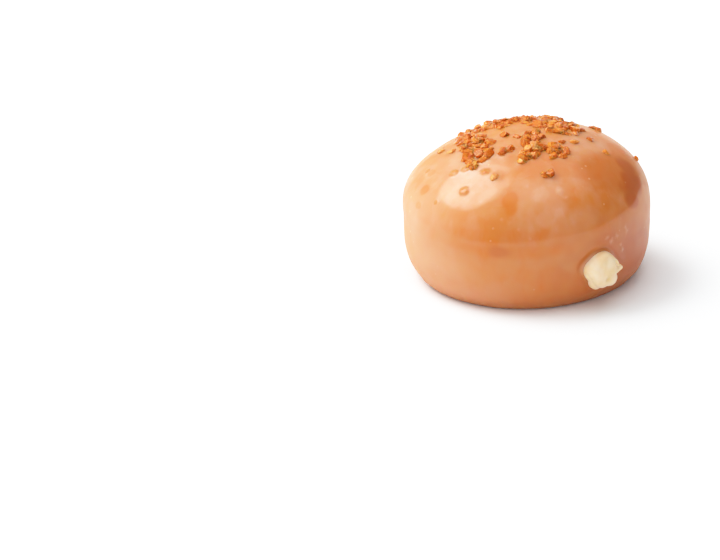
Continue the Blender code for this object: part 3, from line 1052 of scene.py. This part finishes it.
def make_crystals(finish, places):
    """Every crystal that the glaze leaves bare, where the solids have it."""
    turns = crystal_turns(len(places))
    dice = random.Random(SUGAR_SEED + 2)
    crystals = []
    for place, turn in zip(places, turns):
        if is_one_of(DROWNED, place):
            continue
        sunk = is_one_of(SUNK, place)
        if sunk:
            point, normal, size, _ = place
            place = (point, normal, size, SUNK_LIFT * size)
        crystal = crystal_mesh(dice, CRYSTAL_CHIPPED_CORNERS)
        for vert in crystal.verts:
            vert[crystal.verts.layers.float["pale"]] = float(sunk)
        crystal.transform(crystal_matrix(place, turn) @ Matrix.Scale(CRYSTAL_SWELL, 4))
        crystals.append(crystal)
    join_crystals("sugar_crystals", finish, crystals)


def make_grains(finish):
    """Broken grains between and round the crystals of each drift."""
    dice = random.Random(SUGAR_SEED + 3)
    grains = []
    for x, y, half_x, half_y, count in SUGAR_DRIFTS:
        for _ in range(round(count * GRAINS_PER_CRYSTAL)):
            bearing = dice.uniform(0, 2 * math.pi)
            reach = math.sqrt(dice.random()) * DRIFT_SPREAD
            spot_x = (x + half_x * reach * math.cos(bearing)) * MM
            spot_y = (y + half_y * reach * math.sin(bearing)) * MM
            azimuth = math.atan2(spot_y, spot_x)
            polar = polar_from_above(azimuth, math.hypot(spot_x, spot_y))
            smallest, largest = GRAIN_SIZES
            size = smallest + (largest - smallest) * dice.random() ** GRAIN_SMALLNESS
            place = (body_point(azimuth, polar), body_normal(azimuth, polar), size, GRAIN_LIFT * size)
            tumble = tumbled(dice)
            grain = crystal_mesh(dice, GRAIN_CHIPPED_CORNERS)
            turn = (tumble, dice.uniform(*GRAIN_BREADTH), dice.uniform(*GRAIN_FLATTENING))
            grain.transform(crystal_matrix(place, turn))
            grains.append(grain)
    join_crystals("sugar_grains", finish, grains)


def spot_share(point, x, y, reach):
    return bell(math.hypot(point.x - x, point.y - y), reach)


def cream_forms(point, angle, share):
    """How strongly each small form of the cream's front shows at a point of it."""
    lip = near(angle, *CREAM_LIP)
    fold_x, slant, fold_width, fold_share = CREAM_FOLD
    return {
        "valley": lip * bell(share - CREAM_VALLEY[0], CREAM_VALLEY[1]),
        "curl": lip * bell(share - CREAM_CURL[0], CREAM_CURL[1]),
        "fold": bell(point.x - fold_x - slant * point.y, fold_width) * bell(share, fold_share),
        "dimple": spot_share(point, *CREAM_DIMPLE),
        "bulge": spot_share(point, *CREAM_BULGE),
        "shade": spot_share(point, *CREAM_SHADE),
    }


def make_cream(finish):
    """The cream: the solids' blob with a curled lip, a valley inside it and a lobe that sags behind."""
    shape = bmesh.new()
    bmesh.ops.create_icosphere(shape, subdivisions=CREAM_DETAIL, radius=1.0)
    hollow_shade = shape.verts.layers.float.new("hollow_shade")
    for vert in shape.verts:
        point = cream_point(vert.co.normalized())
        angle = math.atan2(point.y, point.x)
        share = math.hypot(point.x, point.y) / cream_outline(angle)
        front = smoothstep(0.0, CREAM_FRONT_FROM, vert.co.z)
        seam = 0.0
        if point.z > 0:
            sector = sum(strength * near(angle, *where) for *where, strength in CREAM_LOBE_SECTORS)
            sector = min(1.0, sector)
            within = min(1.0, share / (1 - CREAM_LOBE_SHARE * sector))
            crown = CREAM_REACH_OUT * (1 - within**CREAM_FULLNESS) ** (1 / CREAM_FULLNESS)
            lobe = CREAM_LOBE_HEIGHT * sector * math.sqrt(max(0.0, 1 - share**CREAM_LOBE_SQUARENESS))
            point.z = max(crown, lobe)
            seam = sector * bell(crown - lobe, CREAM_SEAM_WIDTH)
        forms = cream_forms(point, angle, share)
        point.z += front * sum(CREAM_RELIEF[name][0] * strength for name, strength in forms.items())
        point.z += front * CREAM_RIPPLE[0] * noise.noise(point / CREAM_RIPPLE[1])
        # Painted shade: the hollows, the seam between crown and lobe, and one spot are drawn darker and
        # yellower
        shade_share = front * sum(CREAM_RELIEF[name][1] * strength for name, strength in forms.items())
        vert[hollow_shade] = min(1.0, shade_share + CREAM_SEAM_SHADE * seam)
        beak = near(angle, *CREAM_BEAK_BEARING) * smoothstep(CREAM_BEAK_FROM, 1.0, share)
        level, thickness = CREAM_BEAK_LEVEL
        point.x += CREAM_BEAK * beak * bell(point.z - level, thickness)
        trim = 1 - sum(amount * near(angle, *where) for *where, amount in CREAM_TRIMS)
        vert.co = (point.x * trim, point.y * trim, point.z)
    shape.transform(cream_frame())
    add_piece("cream", shape, finish, "cream_filling")


def make_camera():
    """The photograph's camera: it looks down at the doughnut hole, right of its frame's middle."""
    data = bpy.data.cameras.new("camera")
    data.sensor_width = SENSOR_WIDTH
    focal_px = BODY_WIDTH_PX / BODY_WIDTH * VIEW_DISTANCE
    data.lens = SENSOR_WIDTH * focal_px / FRAME_PX[0]
    data.clip_start = 0.01
    made = bpy.data.objects.new("camera", data)
    place = VIEW_DISTANCE * Vector((0, -math.cos(VIEW_ELEVATION), math.sin(VIEW_ELEVATION)))
    yaw = math.atan((ORIGIN_PX[0] - FRAME_PX[0] / 2) / focal_px)
    pitch = math.atan((FRAME_PX[1] / 2 - ORIGIN_PX[1]) / focal_px)
    level = Matrix.Rotation(math.pi / 2 - VIEW_ELEVATION, 4, "X")
    aim = Matrix.Rotation(yaw, 4, "Y") @ Matrix.Rotation(-pitch, 4, "X")
    made.matrix_world = Matrix.Translation(place) @ level @ aim
    bpy.context.scene.collection.objects.link(made)
    bpy.context.scene.camera = made


def make_softbox():
    """An oval soft light that faces the doughnut hole and fades towards its rim."""
    along, up = SOFTBOX_SIZE
    data = bpy.data.lights.new("softbox", "AREA")
    data.shape = "ELLIPSE"
    data.size, data.size_y = along, up
    area = math.pi * along * up / 4
    data.energy = SOFTBOX_RADIANCE * math.pi * area
    data.use_nodes = True
    nodes = Nodes(data.node_tree)
    across = nodes.add("ShaderNodeNewGeometry").outputs["Parametric"]
    middle = (0.5, 0.5, 0.0)
    ends = {0: across, 1: middle}
    away = nodes.add("ShaderNodeVectorMath", ends, operation="DISTANCE").outputs["Value"]
    nodes.wire(data.node_tree.nodes["Emission"].inputs["Strength"], nodes.remap(away, *SOFTBOX_FADE))
    made = bpy.data.objects.new("softbox", data)
    flat = math.cos(SOFTBOX_ELEVATION)
    bearing = (flat * math.cos(SOFTBOX_AZIMUTH), flat * math.sin(SOFTBOX_AZIMUTH))
    toward = Vector((*bearing, math.sin(SOFTBOX_ELEVATION)))
    made.location = toward * SOFTBOX_DISTANCE
    made.rotation_euler = toward.to_track_quat("Z", "Y").to_euler()
    made.visible_camera = False
    bpy.context.scene.collection.objects.link(made)


def make_table():
    """The plain pale table that the doughnut hole stands on."""
    shape = bmesh.new()
    bmesh.ops.create_grid(shape, x_segments=1, y_segments=1, size=TABLE_HALF)
    mesh = bpy.data.meshes.new("table")
    shape.to_mesh(mesh)
    shape.free()
    made, nodes, shader = new_material("table_top", {"Roughness": 0.7, "Specular IOR Level": 0.2})
    cloud = nodes.noise(nodes.place(), TABLE_CLOUDS)
    nodes.wire(shader.inputs["Base Color"], nodes.mix(cloud, *map(opaque, TABLE_TONES)))
    mesh.materials.append(made)
    table = bpy.data.objects.new("table", mesh)
    bpy.context.scene.collection.objects.link(table)


def make_room():
    """The world: the brightness of the studio's walls round the doughnut hole, under a pale ceiling."""
    world = bpy.data.worlds.new("studio")
    world.use_nodes = True
    bpy.context.scene.world = world
    nodes = Nodes(world.node_tree)
    direction = nodes.add("ShaderNodeTexCoord").outputs["Generated"]
    x, y, z = nodes.add("ShaderNodeSeparateXYZ", {0: direction}).outputs
    bearing = nodes.math("DEGREES", nodes.math("ARCTAN2", y, x))
    turn = nodes.add("ShaderNodeMapRange", {"Value": bearing, "From Min": -180.0, "From Max": 180.0})
    walls = nodes.add("ShaderNodeValToRGB", {"Fac": turn.outputs["Result"]})
    brightest = max(brightness for _, brightness in WALLS)
    greys = [(brightness / brightest,) * 3 for _, brightness in WALLS]
    set_stops(walls, [((angle + 180) / 360, opaque(grey)) for (angle, _), grey in zip(WALLS, greys)])
    elevation = nodes.math("DEGREES", nodes.math("ARCSINE", z))
    low_down = nodes.remap(elevation, *WALLS_END, 0.0, brightest)
    light = nodes.math("MULTIPLY", walls.outputs["Color"], low_down)
    ceiling = nodes.remap(elevation, *CEILING_FROM, 0.0, CEILING_RADIANCE)
    light = nodes.math("ADD", light, ceiling)
    azimuth, height = SKYLIGHT
    flat = math.cos(height)
    middle = (flat * math.cos(azimuth), flat * math.sin(azimuth), math.sin(height))
    both = {0: direction, 1: middle}
    facing = nodes.add("ShaderNodeVectorMath", both, operation="DOT_PRODUCT").outputs["Value"]
    away = nodes.math("DEGREES", nodes.math("ARCCOSINE", facing))
    light = nodes.math("ADD", light, nodes.remap(away, *SKYLIGHT_REACH, 0.0, SKYLIGHT_RADIANCE))
    nodes.wire(world.node_tree.nodes["Background"].inputs["Color"], light)


def set_picture():
    """A plain rendering of colours whose bright end rolls off gently, as in a camera."""
    view = bpy.context.scene.view_settings
    view.view_transform = "Standard"
    view.use_curve_mapping = True
    curves = view.curve_mapping
    curves.white_level = (ROLL_OFF_WHITE,) * 3
    combined = curves.curves[3]
    for bright, shown in ROLL_OFF:
        combined.points.new(bright / ROLL_OFF_WHITE, shown)
    curves.update()


def main():
    set_picture()
    make_camera()
    make_table()
    make_softbox()
    make_room()
    places = sugar_places()
    make_crust(glaze_material(), places)
    sugar = sugar_material()
    make_crystals(sugar, places)
    make_grains(sugar)
    make_cream(cream_material())


main()
